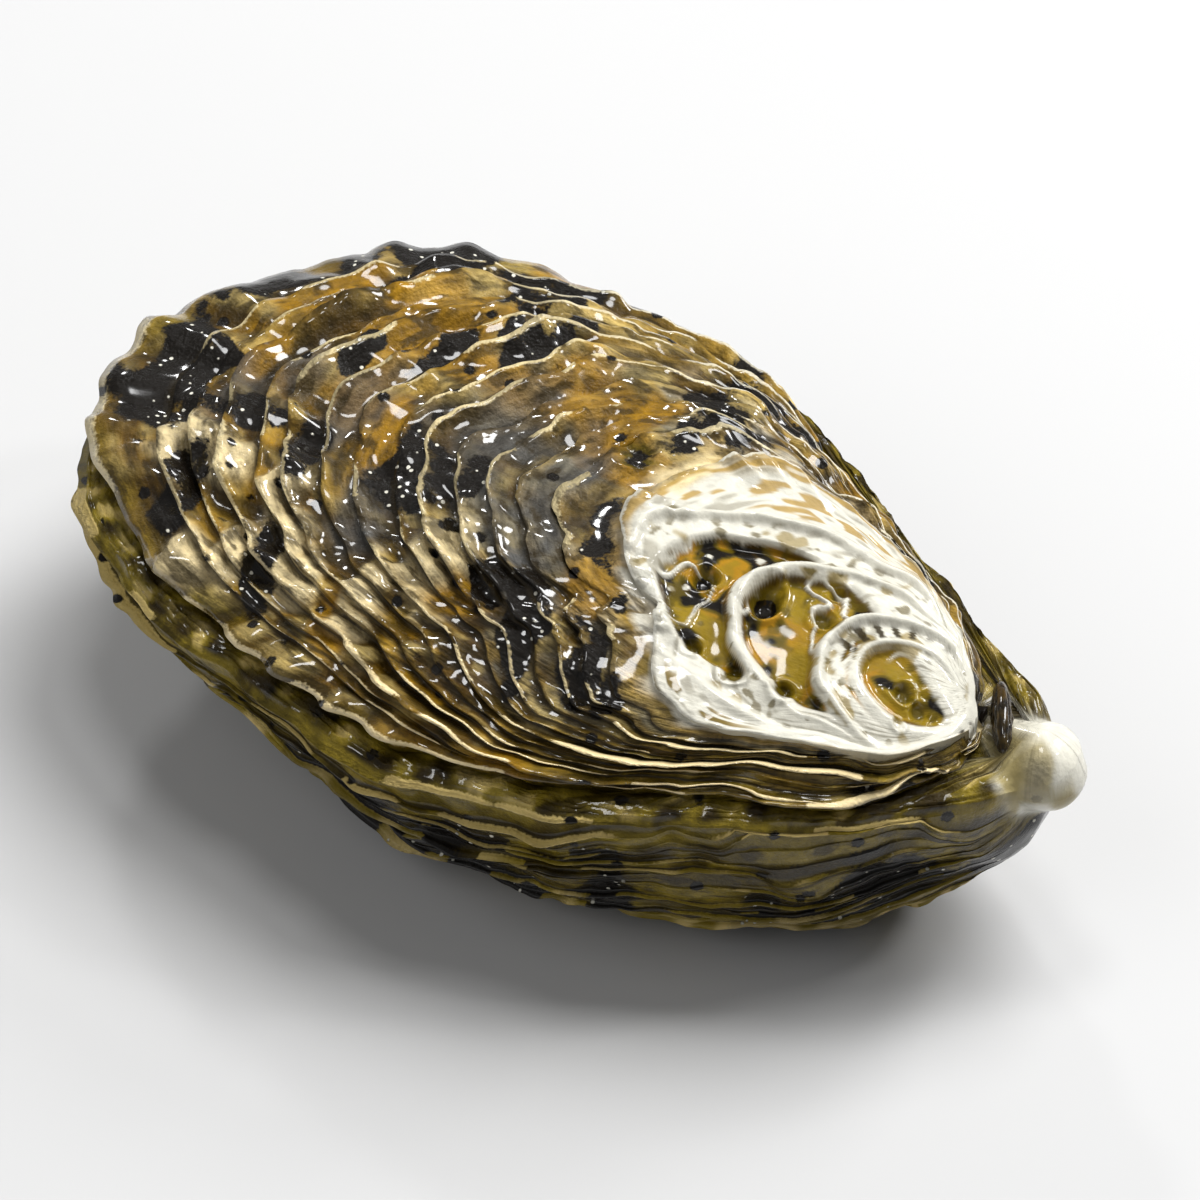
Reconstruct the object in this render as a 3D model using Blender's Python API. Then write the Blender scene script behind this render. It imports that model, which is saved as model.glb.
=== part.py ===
"""A whole closed cupped oyster, lying on its deep valve with the domed valve up.

Frame: metres, +Z up, +X towards the beak (the hinge end), origin under the middle of the bounding box.
Three solids: the deep lower valve, the domed upper valve and the hinge ligament between their beaks.
A valve grows by the rule of real shells: each growth line is the margin drawn smaller about the umbo,
and each one ends in the raised lip of a lamella.
"""

import math
from collections import namedtuple

import bmesh
import bpy
from mathutils import Vector

MM = 0.001

# How a valve bulges: its height, where its crest lies along and across it, the curves from the beak up to
# the crest and down to the far end, and the curve of its cross-section
Bulge = namedtuple("Bulge", "height crest lean rise fall section")

# Driving dimensions
LENGTH = 95 * MM
WIDTH = 57.5 * MM
CUP_DEPTH = 21.5 * MM
DOME_HEIGHT = 8.5 * MM
SEAM_GAP = 0.3 * MM

# Margin of the lower valve: shares of LENGTH back from the beak, and of WIDTH to the side
MARGIN = (
    (0.000, 0.000),
    (0.010, 0.046),
    (0.040, 0.074),
    (0.110, 0.130),
    (0.220, 0.250),
    (0.340, 0.380),
    (0.450, 0.490),
    (0.620, 0.555),
    (0.750, 0.530),
    (0.860, 0.455),
    (0.945, 0.300),
    (0.995, 0.080),
    (0.955, -0.130),
    (0.860, -0.290),
    (0.720, -0.375),
    (0.550, -0.440),
    (0.410, -0.420),
    (0.290, -0.350),
    (0.180, -0.275),
    (0.100, -0.165),
    (0.040, -0.085),
    (0.010, -0.048),
)
HEART = (0.48 * LENGTH, 0.04 * WIDTH)

# Upper valve. Its growth lines are shares of the way from the umbo to the margin
UPPER_UMBO = (11.0 * MM, -0.4 * MM)
UPPER_STOPS = (0.10, 0.18, 0.28, 0.40, 0.50, 0.585, 0.675, 0.745, 0.82, 0.89, 0.95, 1.0)
UPPER_STEP = 0.9 * MM
UPPER_LIP = 0.9 * MM
DOME = Bulge(DOME_HEIGHT, crest=0.42, lean=0.12, rise=(2.2, 0.6), fall=(2.2, 0.8), section=(2.6, 0.75))
RIM_SHELF = 1.6 * MM
BEAK_SETBACK = 8.0 * MM
BEAK_TAPER = 24 * MM
BEAK_BREADTH = 0.2
HINGE_SKEW = 0.5

# Lower valve. The outermost share of its bulge is cut off by the flat spot that it rests on
LOWER_UMBO = (4.5 * MM, 0.0)
LOWER_STOPS = (0.14, 0.27, 0.40, 0.52, 0.63, 0.73, 0.81, 0.87, 0.915, 0.95, 0.975, 0.99, 0.9975, 1.0)
LOWER_STEP = 0.9 * MM
LOWER_LIP = 1.3 * MM
FLAT_SHARE = 0.96
CUP = Bulge(CUP_DEPTH / FLAT_SHARE, crest=0.36, lean=0.0, rise=(2.5, 0.8), fall=(2.0, 0.72), section=(2.8, 0.52))
SHELF_DROP = 0.5 * MM
KNOB_HEIGHT = 2.4 * MM
KNOB_RADIUS = 6.0 * MM
KNOB_BACK = 2.8 * MM

# Lamellae: the foot's share of each one's length, and the folds that make the lips stand out more and less
FOOT_SHARE = 0.14
FOLDS = 13
FOLD_SHARE = 0.4

# Seam surface: a slow wave along the valves
SEAM_WAVE = 0.6 * MM
SEAM_WAVELENGTH = 75 * MM

LIGAMENT_SIZE = (2.0 * MM, 8.0 * MM, 2.8 * MM)
LIGAMENT_BACK = 8.1 * MM
LIGAMENT_GAP = 0.35 * MM

# Fineness of the meshes
SEGMENTS = 80
RIM_SAMPLES = 240
UNDERSIDE_ROWS = (1.0, 0.66, 0.33)
TOPSIDE_ROWS = (0.025, 0.05, 0.12, 0.35, 0.65, 0.93, 1.0)
LIGAMENT_SEGMENTS = 20
LIGAMENT_RINGS = 10
SHARP_ANGLE = 40
NUDGE = 1e-3
TINY = 1e-9

# Finishes: colour and roughness
SHELL_BROWN = (0.26, 0.19, 0.09), 0.35
SHELL_OLIVE = (0.20, 0.16, 0.07), 0.4
LIGAMENT_DARK = (0.035, 0.027, 0.02), 0.3


def clear_scene():
    for item in list(bpy.data.objects):
        bpy.data.objects.remove(item, do_unlink=True)


def material(name, finish):
    colour, roughness = finish
    made = bpy.data.materials.new(name)
    made.use_nodes = True
    shader = made.node_tree.nodes["Principled BSDF"]
    shader.inputs["Base Color"].default_value = (*colour, 1.0)
    shader.inputs["Roughness"].default_value = roughness
    shader.inputs["Metallic"].default_value = 0.0
    made.diffuse_color = (*colour, 1.0)
    return made


def lower_margin(turn):
    """Point (back, side) of the lower valve's margin; turn runs from 0 to 1 round the shell."""
    count = len(MARGIN)
    place = (turn % 1.0) * count
    first = int(place)
    f = place - first
    a, b, c, d = (Vector(MARGIN[(first + k) % count]) for k in (-1, 0, 1, 2))
    spot = 0.5 * (2 * b + (c - a) * f + (2 * a - 5 * b + 4 * c - d) * f**2 + (3 * b - a - 3 * c + d) * f**3)
    return Vector((spot.x * LENGTH, spot.y * WIDTH))


def upper_margin(turn):
    """The upper valve stops short of the lower one: by a shelf all round, and by more at its blunt beak."""
    spot = lower_margin(turn)
    near_beak = max(0.0, 1.0 - spot.x / BEAK_TAPER) ** 2
    setback = (BEAK_SETBACK + HINGE_SKEW * spot.y) * near_beak
    spot = Vector((spot.x + setback, spot.y * (1.0 + BEAK_BREADTH * near_beak)))
    inward = Vector(HEART) - spot
    return spot + inward.normalized() * RIM_SHELF


def seam_height(spot):
    return CUP_DEPTH + SEAM_WAVE * math.sin(2 * math.pi * spot.x / SEAM_WAVELENGTH)


def knob_height(spot):
    """The rounded tip of the lower beak, which curls up past the seam."""
    share = (spot - Vector((KNOB_BACK, 0.0))).length / KNOB_RADIUS
    return KNOB_HEIGHT * max(0.0, 1.0 - share**2) ** 2


def arch(share, bulge):
    """A long arch: 0 at both ends of the shell and 1 at the crest, each side with its own curve."""
    if share < bulge.crest:
        power, bend = bulge.rise
        down = 1 - share / bulge.crest
    else:
        power, bend = bulge.fall
        down = (share - bulge.crest) / (1 - bulge.crest)
    return (1 - min(1.0, down) ** power) ** bend


def section(across, bulge):
    """The cross-section: 1 at its crest and 0 at the margins, where across is -1 and 1."""
    power, bend = bulge.section
    aside = abs((across - bulge.lean) / (1 - bulge.lean * across))
    return (1 - min(1.0, aside) ** power) ** bend


class Valve:
    """One valve: its margin, umbo, bulge and lamellae. side is 1 for the upper valve and -1 for the lower."""

    def __init__(self, side, margin, umbo, bulge, lip, stops, step):
        self.side = side
        self.margin = margin
        self.umbo = Vector(umbo)
        self.bulge = bulge
        self.lip = lip
        self.stops = stops
        self.step = step
        rim = [margin(k / RIM_SAMPLES) for k in range(RIM_SAMPLES)]
        self.longest = max((spot - self.umbo).length for spot in rim)
        self.tip = min(spot.x for spot in rim)
        self.end = max(spot.x for spot in rim)
        turning = max(range(RIM_SAMPLES), key=lambda k: rim[k].x)
        self.edges = rim[: turning + 1], [*rim[turning:], rim[0]][::-1]

    def ray(self, turn):
        return self.margin(turn) - self.umbo

    def reach(self, turn):
        return self.ray(turn).length / self.longest

    def edge_side(self, back, edge):
        """Side of the margin at this distance back, on the chain of points along one edge."""
        for near, far in zip(edge, edge[1:]):
            if near.x <= back <= far.x:
                share = (back - near.x) / max(far.x - near.x, TINY)
                return near.y + (far.y - near.y) * share
        return edge[0].y if back < edge[0].x else edge[-1].y

    def stand_off(self, spot):
        """How far the valve stands off its margin's plane over a point (back, side)."""
        plus, minus = (self.edge_side(spot.x, edge) for edge in self.edges)
        across = (spot.y - (plus + minus) / 2) / max((plus - minus) / 2, TINY)
        along = (spot.x - self.tip) / (self.end - self.tip)
        across = max(-1.0, min(1.0, across))
        return self.bulge.height * arch(max(along, 0.0), self.bulge) * section(across, self.bulge)

    def base(self, t, turn):
        """The outer surface without its lamellae."""
        spot = self.umbo + self.ray(turn) * t
        z = seam_height(spot) + self.side * (SEAM_GAP / 2 + self.lip + self.stand_off(spot))
        return Vector((-spot.x, spot.y, z))

    def lift(self, t, turn):
        """How far the lamella that holds t stands off the base: nothing at its foot, most at its lip."""
        low = 0.0
        for number, high in enumerate(self.stops):
            if t <= high + TINY:
                share = (t - low) / (high - low)
                fold = 1 + FOLD_SHARE * math.sin(2 * math.pi * FOLDS * turn + number)
                rise = max(0.0, (share - FOOT_SHARE) / (1 - FOOT_SHARE))
                return self.step * math.sqrt(self.reach(turn)) * fold * rise
            low = high
        return 0.0

    def outer(self, t, turn):
        """The outer surface, with its lamellae, and flat where it would go below the ground."""
        here = self.base(t, turn)
        inner = min(max(t, NUDGE), 1 - 2 * NUDGE)
        along = self.base(inner + NUDGE, turn) - self.base(inner, turn)
        around = self.base(inner, turn + NUDGE) - self.base(inner, turn - NUDGE)
        here += along.cross(around).normalized() * self.lift(t, turn) * self.side
        return Vector((here.x, here.y, max(here.z, 0.0)))

    def outer_rows(self):
        """Two rows a lamella: its foot, just past the last lip, and its own lip."""
        rows, low = [], 0.0
        for high in self.stops:
            rows += [low + (high - low) * FOOT_SHARE, high]
            low = high
        return rows

    def underside(self, t, turn):
        """The plain face of the upper valve along the seam."""
        spot = self.umbo + self.ray(turn) * t
        return Vector((-spot.x, spot.y, seam_height(spot) + SEAM_GAP / 2))

    def topside(self, t, turn):
        """The face of the lower valve along the seam, with its sloping shelf and the beak's knob."""
        ray = self.ray(turn)
        spot = self.umbo + ray * t
        shelf = min(1.0, RIM_SHELF / ray.length)
        slope = max(0.0, (t - (1 - shelf)) / shelf)
        z = seam_height(spot) - SEAM_GAP / 2 - SHELF_DROP * slope + knob_height(spot)
        return Vector((-spot.x, spot.y, z))


def add_shell(name, rows, collection, finish):
    """A sphere whose rings of points, pole to pole, are drawn out to the given rows of the shell."""
    mesh = bpy.data.meshes.new(name)
    bm = bmesh.new()
    bmesh.ops.create_uvsphere(bm, u_segments=SEGMENTS, v_segments=len(rows) - 1, radius=1.0)
    for vertex in bm.verts:
        row = round(math.acos(max(-1.0, min(1.0, vertex.co.z))) / math.pi * (len(rows) - 1))
        turn = round(math.atan2(vertex.co.y, vertex.co.x) / (2 * math.pi) * SEGMENTS) / SEGMENTS
        surface, t = rows[row]
        vertex.co = surface(t, turn)
    bm.to_mesh(mesh)
    bm.free()
    mesh.materials.append(finish)
    mesh.shade_smooth()
    mesh.set_sharp_from_angle(angle=math.radians(SHARP_ANGLE))
    made = bpy.data.objects.new(name, mesh)
    collection.objects.link(made)
    return made


def add_upper_valve(collection):
    valve = Valve(1, upper_margin, UPPER_UMBO, DOME, UPPER_LIP, UPPER_STOPS, UPPER_STEP)
    outer = [(valve.outer, t) for t in (0.0, *valve.outer_rows())]
    under = [(valve.underside, t) for t in (*UNDERSIDE_ROWS, 0.0)]
    return add_shell("upper_valve", outer + under, collection, material("upper_shell", SHELL_BROWN))


def add_lower_valve(collection):
    valve = Valve(-1, lower_margin, LOWER_UMBO, CUP, LOWER_LIP, LOWER_STOPS, LOWER_STEP)
    top = [(valve.topside, t) for t in (0.0, *TOPSIDE_ROWS)]
    outer = [(valve.outer, t) for t in (*reversed(valve.outer_rows()), 0.0)]
    return add_shell("lower_valve", top + outer, collection, material("lower_shell", SHELL_OLIVE))


def add_ligament(collection):
    """The dark springy pad between the two beaks, set askew as the hinge line is."""
    mesh = bpy.data.meshes.new("hinge_ligament")
    bm = bmesh.new()
    bmesh.ops.create_uvsphere(bm, u_segments=LIGAMENT_SEGMENTS, v_segments=LIGAMENT_RINGS, radius=0.5)
    bmesh.ops.scale(bm, vec=Vector(LIGAMENT_SIZE), verts=bm.verts)
    bm.to_mesh(mesh)
    bm.free()
    mesh.materials.append(material("ligament", LIGAMENT_DARK))
    mesh.shade_smooth()
    made = bpy.data.objects.new("hinge_ligament", mesh)
    spot = Vector((LIGAMENT_BACK, 0.0))
    floor = seam_height(spot) - SEAM_GAP / 2 + knob_height(spot)
    made.location = (-spot.x, spot.y, floor + LIGAMENT_GAP + LIGAMENT_SIZE[2] / 2)
    made.rotation_euler.z = math.atan(HINGE_SKEW)
    collection.objects.link(made)
    return made


def stand_on_origin(pieces):
    """Moves the pieces together so that the origin is under the middle of their bounding box."""
    bpy.context.view_layer.update()
    corners = [piece.matrix_world @ vertex.co for piece in pieces for vertex in piece.data.vertices]
    low = Vector(min(corner[k] for corner in corners) for k in range(3))
    high = Vector(max(corner[k] for corner in corners) for k in range(3))
    for piece in pieces:
        piece.location -= Vector(((low.x + high.x) / 2, (low.y + high.y) / 2, low.z))


def main():
    clear_scene()
    oyster = bpy.data.collections.new("oyster")
    bpy.context.scene.collection.children.link(oyster)
    pieces = [add_lower_valve(oyster), add_upper_valve(oyster), add_ligament(oyster)]
    stand_on_origin(pieces)


main()
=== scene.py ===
"""The looks of a whole closed oyster: valves in full relief, hinge ligament, floor, lights and camera.

The valves repeat the growth rule of the solids: each growth line is the margin drawn smaller about the umbo.
Here the lines wander, every lamella has its own height and overhang, and folds, bulges and pits are added.
"""

import math
from types import SimpleNamespace

import bpy
import numpy as np
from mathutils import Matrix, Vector


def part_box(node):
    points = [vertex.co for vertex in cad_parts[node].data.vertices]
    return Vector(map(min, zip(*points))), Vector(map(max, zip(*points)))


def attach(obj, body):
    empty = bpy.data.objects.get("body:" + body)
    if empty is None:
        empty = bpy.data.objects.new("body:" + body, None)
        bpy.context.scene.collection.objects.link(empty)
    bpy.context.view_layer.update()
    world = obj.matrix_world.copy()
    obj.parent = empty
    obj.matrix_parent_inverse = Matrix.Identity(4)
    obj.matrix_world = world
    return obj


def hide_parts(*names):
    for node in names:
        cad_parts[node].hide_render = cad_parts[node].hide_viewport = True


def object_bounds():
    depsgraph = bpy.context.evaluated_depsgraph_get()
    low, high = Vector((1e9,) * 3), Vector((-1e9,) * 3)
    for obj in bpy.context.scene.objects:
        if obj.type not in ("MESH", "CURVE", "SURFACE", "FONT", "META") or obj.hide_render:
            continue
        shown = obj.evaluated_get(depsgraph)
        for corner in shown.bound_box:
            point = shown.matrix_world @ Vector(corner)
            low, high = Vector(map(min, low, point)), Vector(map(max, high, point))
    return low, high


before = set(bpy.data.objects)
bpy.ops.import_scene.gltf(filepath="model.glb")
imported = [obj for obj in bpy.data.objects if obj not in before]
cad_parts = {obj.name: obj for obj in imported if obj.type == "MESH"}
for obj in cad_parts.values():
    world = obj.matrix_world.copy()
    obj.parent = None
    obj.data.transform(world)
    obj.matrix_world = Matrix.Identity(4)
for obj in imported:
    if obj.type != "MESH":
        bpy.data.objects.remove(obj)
cad_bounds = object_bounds()

MM = 0.001

# The form of the shell, as in the solids
LENGTH = 95 * MM
WIDTH = 57.5 * MM
CUP_DEPTH = 21.5 * MM
DOME_HEIGHT = 8.5 * MM
SEAM_GAP = 0.3 * MM
MARGIN = (
    (0.0, 0.0),
    (0.01, 0.046),
    (0.04, 0.074),
    (0.11, 0.13),
    (0.22, 0.25),
    (0.34, 0.38),
    (0.45, 0.49),
    (0.62, 0.555),
    (0.75, 0.53),
    (0.86, 0.455),
    (0.945, 0.3),
    (0.995, 0.08),
    (0.955, -0.13),
    (0.86, -0.29),
    (0.72, -0.375),
    (0.55, -0.44),
    (0.41, -0.42),
    (0.29, -0.35),
    (0.18, -0.275),
    (0.1, -0.165),
    (0.04, -0.085),
    (0.01, -0.048),
)
HEART = np.array((0.48 * LENGTH, 0.04 * WIDTH))
UPPER_UMBO = np.array((11.0 * MM, -0.4 * MM))
LOWER_UMBO = np.array((4.5 * MM, 0.0))
UPPER_LIP = 0.9 * MM
LOWER_LIP = 1.3 * MM
RIM_SHELF = 1.6 * MM
SHELF_DROP = 0.5 * MM
BEAK_SETBACK = 8.0 * MM
BEAK_TAPER = 24 * MM
BEAK_BREADTH = 0.2
HINGE_SKEW = 0.5
FLAT_SHARE = 0.96
DOME = {
    "height": DOME_HEIGHT,
    "crest": 0.42,
    "lean": 0.12,
    "rise": (2.2, 0.6),
    "fall": (2.2, 0.8),
    "section": (2.6, 0.75),
}
CUP = {
    "height": CUP_DEPTH / FLAT_SHARE,
    "crest": 0.36,
    "lean": 0.0,
    "rise": (2.5, 0.8),
    "fall": (2.0, 0.72),
    "section": (2.8, 0.52),
}
KNOB_HEIGHT = 2.4 * MM
KNOB_RADIUS = 6.0 * MM
KNOB_BACK = 2.8 * MM
SEAM_WAVE = 0.6 * MM
SEAM_WAVELENGTH = 75 * MM
LIGAMENT_BACK = 8.1 * MM

# The main growth lines: place from 0 at the umbo to 1 at the margin, strength, strength on the near flank,
# and how many weaker lines lie before it
UPPER_LINES = (
    (0.47, 0.7, 0.0, 0),
    (0.55, 0.8, 2.2, 1),
    (0.63, 0.9, 0.0, 1),
    (0.71, 1.1, 2.4, 1),
    (0.79, 1.0, 0.3, 1),
    (0.86, 1.1, 2.3, 1),
    (0.93, 1.0, 0.4, 1),
    (1.0, 1.2, 1.6, 0),
)
LOWER_LINES = (
    (0.12, 0.9, 0.9, 1),
    (0.24, 0.7, 0.7, 2),
    (0.36, 1.1, 1.1, 2),
    (0.47, 0.6, 0.6, 1),
    (0.57, 1.2, 1.2, 1),
    (0.66, 0.5, 0.5, 1),
    (0.75, 1.4, 1.4, 1),
    (0.84, 0.5, 0.5, 1),
    (0.92, 1.3, 1.3, 1),
    (1.0, 1.0, 1.0, 0),
)
# The young shell is smooth up to one thick lip: its age there, the span of ages that rises to it, its
# strengths as above, its rows as rise and lean, and the gaps between the rows before it
YOUNG_AGE = 0.395
YOUNG_RISE = 0.08
YOUNG_STRENGTHS = (0.8, 0.8)
YOUNG_LIP_ROWS = ((1.0, 0.4), (0.45, 0.15))
YOUNG_ROW = 0.003
YOUNG_LIP_GAP = 0.004
# How far the young shell's root and the old shell below it are sunk out of sight
YOUNG_ROOT = 4.0 * MM
OLD_SINK = 5.0 * MM
# The old shell starts this much before the young lip, with a few hidden rows before that
OLD_OVERLAP = 0.02
HIDDEN_AGES = (0.01, 0.15, 0.3, YOUNG_AGE - 0.03)
# Rows of one lamella: share of its length, share of its lift, and lean along the shell in millimetres.
# The last two are its lip and the lip's underside; the first is tucked under the lip before.
LAMELLA_ROWS = (
    (0.02, 0.02, -0.1),
    (0.16, 0.06, 0.0),
    (0.32, 0.14, 0.0),
    (0.48, 0.26, 0.0),
    (0.64, 0.42, 0.0),
    (0.78, 0.62, 0.0),
    (0.9, 0.86, 0.08),
    (1.0, 1.0, 0.36),
    (1.0, 0.45, 0.15),
)
# The same with fewer rows, for the lower valve
WALL_ROWS = (
    (0.02, 0.02, -0.1),
    (0.3, 0.16, 0.0),
    (0.62, 0.44, 0.0),
    (0.88, 0.84, 0.06),
    (1.0, 1.0, 0.34),
    (1.0, 0.48, 0.15),
)
UPPER_STEP = 1.65 * MM
# How much of its own lift each lamella is sunk by, so that the steps lie about the smooth dome
SINK = 0.5
LOWER_STEP = 1.35 * MM
# Stretches of the way round the shell, as turns over which each one rises and falls
NEAR_FLANK = ((0.6, 0.84), (0.93, 1.0))
GREEN_SIDE = ((0.68, 0.76), (0.93, 1.0))
BROWN_SIDE = ((0.55, 0.62), (0.72, 0.8))
FAR_SIDE = ((0.02, 0.1), (0.3, 0.42))
# On the near flank the growth lines of the upper valve crowd towards the margin
FLANK_CROWD = 3.5
# The lower valve's lines are crowded where its wall is steep, by this power
WALL_CROWD = 2.2

# Ages over which the old shell's wandering, relief, colour and grain set in, and the margin's own form
WANDER_SPAN = (0.33, 0.5)
OLD_RELIEF = (0.4, 0.55)
OLD_PAINT = (0.39, 0.45)
OLD_GRAIN = (0.36, 0.45)
NEAR_MARGIN = (0.85, 1.0)
# Waves of the growth lines and the margin: height, wavelength and slide from one lamella to the next, in
# millimetres, and seed
LINE_WAVES = ((1.3, 24, 4, 1), (1.15, 6.5, 1.5, 2), (0.35, 2.6, 0.6, 3))
FLANK_WAVES = ((0.6, 3.6, 0.4, 9),)
MARGIN_WAVES = ((0.45, 7, 1.1, 4), (0.25, 2.8, 0.6, 5))
MARGIN_INSET = 0.15 * MM
# Weak growth lines set in over this span of distance from the umbo to the margin
WEAK_LINES = (10 * MM, 32 * MM)
# Growth lines set in over this span behind the smooth tip of the lower beak
BEAK_LINES = (5 * MM, 12 * MM)

# Radial folds of the far end, and the stretch of the shell in which they rise
FAR_FOLDS = 38
FAR_FOLD_HEIGHT = 0.6 * MM
FAR_END = (0.42 * LENGTH, 0.65 * LENGTH)

# Rings near the beak, nested: back, side, half length, half width, height and thickness of the ridge,
# white band inside it, and depth of the trough inside that, in millimetres
YOUNG_RINGS = (
    (15.3, -3.7, 4.3, 3.6, 0.3, 0.28, 0.1, 0.9),
    (15.8, -4.0, 6.9, 5.7, 0.8, 0.34, 1.0, 0.2),
    (20.5, -3.3, 10.8, 7.3, 0.6, 0.3, 0.3, 1.3),
    (26.0, -3.0, 15.4, 9.6, 0.8, 0.42, 2.0, 1.3),
)
# The ovals' ragged edges: height and wavelength of each wave, in millimetres, and seed
OVAL_WAVES = ((0.6, 6.5, 50), (0.3, 2.8, 51), (0.07, 1.2, 52))
# The troughs end at a slanting line on the far side: where it crosses the middle, its slope, and its breadth
TROUGH_END = 26
TROUGH_SLANT = 0.5
TROUGH_FADE = (2.5, 4.5)
# How much of a trough's depth a web fills
WEB_FILL = 0.3
YOUNG_STRIPES = 22
# How far the old shell is lowered inside its margin, in millimetres
OLD_DIP = 0.35
# Pits of the upper valve: back, side, radius and depth, in millimetres, and their rims' share of that depth
PITS = (
    (35, -2.3, 1.3, 0.9),
    (29, -2, 1.6, 1.3),
    (24, 1.6, 0.6, 0.5),
    (24, -1.4, 1.1, 0.7),
    (28.3, -10, 0.9, 0.7),
    (24, -9.2, 1.0, 0.7),
    (32.6, -9, 0.9, 0.6),
    (15, -4.3, 1.0, 0.7),
    (13.2, -4.8, 1.0, 0.5),
    (14.4, -7.2, 0.5, 0.4),
    (40, 2.2, 0.7, 0.4),
    (46, 7.5, 1.8, 0.9),
)
PIT_RIM = 0.3
# The round knob at the tip of the lower beak: back, side and depth of its middle in millimetres
KNOB_MIDDLE = (3.9, -0.8, 1.2)
KNOB_BALL = 3.8 * MM

# Patches of colour on the upper valve: back and side of the middle, then half its breadth across and along
# the growth lines, all in millimetres
SOOT_PATCHES = (
    (88, 5.5, 3.2, 4.5),
    (87, 17, 2.8, 3.8),
    (81, 24, 1.5, 3.8),
    (87, 0.5, 2.8, 3.8),
    (73, -1.5, 2.2, 4.5),
    (62.5, -1.5, 4.0, 5.8),
    (62, 25, 1.8, 4.2),
    (60, 17.5, 1.8, 5.5),
    (74, 10.5, 1.8, 3.5),
    (81, -10, 2.2, 4.2),
    (47, -12.5, 2.2, 5.0),
    (51, -10.5, 1.8, 3.2),
    (40, -16, 1.5, 3.0),
    (39, 14, 1.2, 3.0),
    (67, 12.5, 1.4, 3.5),
    (71, -15, 1.5, 3.0),
)
# Grey patches: partly the shell's own grey, partly a painted sheen of soft reflected light on the wet dark
# shell
SLATE_AND_SHEEN_PATCHES = (
    (72, 3, 2.8, 6.5),
    (65, -7, 2.8, 5.5),
    (58, 4, 5.0, 6.5),
    (50, -5.5, 4.6, 6.2),
    (58, 10, 3.4, 4.8),
    (49, -10, 3.4, 5.0),
    (50, 3, 3.0, 4.0),
    (82, 2, 1.8, 4.0),
    (77, 5, 2.0, 5.0),
)
OCHRE_PATCHES = (
    (82, 7, 1.3, 3.2),
    (79.5, 18, 1.3, 5.0),
    (65, 13.5, 1.2, 2.0),
    (74.5, 19.5, 1.2, 4.0),
    (65, 18, 1.3, 3.0),
    (67.5, 1.5, 1.2, 5.0),
    (47, 13, 1.5, 3.0),
    (56.5, 15, 1.5, 4.0),
    (62.5, -17, 2.0, 4.0),
)
CREAM_PATCHES = (
    (83, -5.5, 2.0, 3.0),
    (78, -6, 1.9, 3.0),
    (73, -6.5, 1.9, 2.8),
    (78, -15, 2.0, 3.2),
    (74, -14, 1.9, 2.8),
    (69.5, -12, 2.0, 3.0),
    (66.5, -14.5, 1.7, 3.0),
    (56.5, -9.5, 2.6, 3.8),
    (61, -15, 1.9, 3.6),
    (41, 7.5, 2.0, 3.6),
)
# How high the cream patches bulge
BULGE = 0.7 * MM

# The span of the map that fine growth lines are drawn in
FLOW_LENGTH = 45 * MM
# The gap between the fine ridges of the lower valve's shelf, and how far they and its crumbs rise
SHELF_RIDGE = 0.9 * MM
SHELF_RIDGE_HEIGHT = 0.25 * MM
SHELF_CRUMBS = (0.25 * MM, 0.22 * MM)

# Colours, linear
PEARL = (0.66, 0.64, 0.55)
IVORY = (0.74, 0.6, 0.33)
CREAM = (0.62, 0.47, 0.17)
PALE_OLIVE = (0.26, 0.19, 0.018)
SAND = (0.38, 0.235, 0.035)
OCHRE = (0.33, 0.17, 0.006)
AMBER = (0.24, 0.16, 0.008)
UMBER = (0.07, 0.037, 0.003)
OLIVE = (0.1, 0.07, 0.004)
BARK = (0.024, 0.015, 0.002)
SOOT = (0.005, 0.0035, 0.002)
SLATE = (0.08, 0.078, 0.072)
STONE = (0.16, 0.135, 0.08)
PALE_STONE = (0.3, 0.27, 0.19)
AGE_COLOURS = (
    (0.0, PEARL),
    (0.38, PEARL),
    (0.42, SAND),
    (0.46, PALE_STONE),
    (0.52, STONE),
    (0.6, STONE),
    (0.66, SLATE),
    (0.72, UMBER),
    (0.8, OCHRE),
    (0.86, UMBER),
    (0.91, OCHRE),
    (0.96, UMBER),
    (1.0, PALE_OLIVE),
)

# The ligament: half its thickness, length and height, how many leaves it has, its turn from the frame's Y
# axis, and its rows and columns
LIGAMENT_HALF = (1.0 * MM, 4.0 * MM, 1.4 * MM)
LIGAMENT_LEAVES = 6
LIGAMENT_TURN = math.atan(HINGE_SKEW)
LIGAMENT_ROWS = 110
LIGAMENT_COLUMNS = 168

# Light, in metres and watts: name, place, size, power, and whether the wet shell mirrors it
LIGHTS = (
    ("key", (0.16, 0.36, 0.75), 0.5, 8.0, False),
    ("fill", (-0.4, -0.5, 0.6), 0.8, 2.2, False),
    ("window", (0.25, 0.62, 0.5), 0.22, 2.4, True),
    ("skylight", (-0.1, 0.1, 0.85), 0.2, 1.5, True),
    ("glint_right", (0.45, 0.3, 0.5), 0.08, 0.8, True),
    ("glint_back", (-0.4, 0.5, 0.5), 0.08, 0.7, True),
)
LIGHT_TARGET = (0, 0, 0.01)
WORLD_LIGHT = 0.14
FLOOR_WHITE = (0.52, 0.52, 0.52)
FLOOR_SIZE = 4
# The camera, on the photo's side: degrees round and up, lens in millimetres, and distance in metres
CAMERA_AZIMUTH = 27
CAMERA_ELEVATION = 46
CAMERA_LENS = 280
CAMERA_DISTANCE = 0.8

# Fineness
COLUMNS = 680
RIM_SAMPLES = 2400
# Rows that close each piece where it is out of sight, as shares of the way out from the umbo
UNDERSIDE_ROWS = (0.985, 0.95, 0.85, 0.5, 0.2)
YOUNG_UNDERSIDE_ROWS = (0.985, 0.9, 0.6, 0.2)
TOPSIDE_ROWS = (0.6, 0.4, 0.15)
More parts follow.
